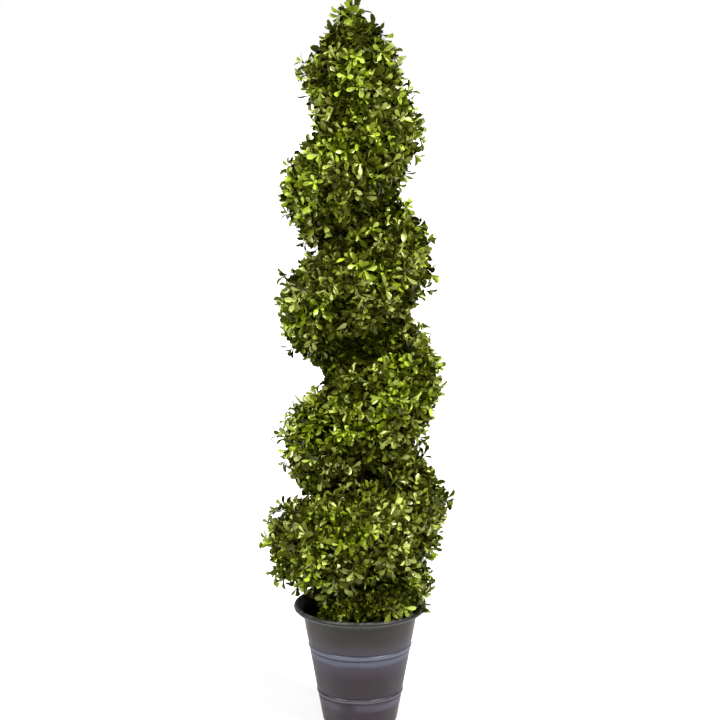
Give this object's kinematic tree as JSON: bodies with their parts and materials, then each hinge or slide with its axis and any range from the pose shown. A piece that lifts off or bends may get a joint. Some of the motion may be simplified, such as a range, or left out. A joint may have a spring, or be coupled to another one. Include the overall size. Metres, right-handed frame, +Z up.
{
  "type": "spiral topiary in a planter",
  "caption": "Artificial boxwood trained as a rising spiral round a slender stem, in a tapered ribbed planter with a beaded lip.",
  "frame": {"origin": "centre of the planter's flat underside, on the surface that it stands on", "axes": "+Z up along the planter's axis, +X to the right and -Y towards the viewer of the picture"},
  "size_m": [0.3184, 0.3455, 1.216],
  "materials": {
    "pot": "satin slate grey with a blue-grey wash",
    "potting_fill": "dark rough fill",
    "stem": "rough bark brown",
    "leaves": "satin leaf green"
  },
  "bodies": {
    "root": {"pot": "pot", "potting_fill": "potting_fill", "stem": "stem", "foliage_base": "leaves", "foliage_turn_1_back": "leaves", "foliage_turn_1_front": "leaves", "foliage_turn_2_back": "leaves", "foliage_turn_2_front": "leaves", "foliage_turn_3_back": "leaves", "foliage_turn_3_front": "leaves", "foliage_turn_4_back": "leaves", "foliage_turn_4_front": "leaves", "foliage_turn_5_back": "leaves", "foliage_tip": "leaves"}
  },
  "joints": []
}
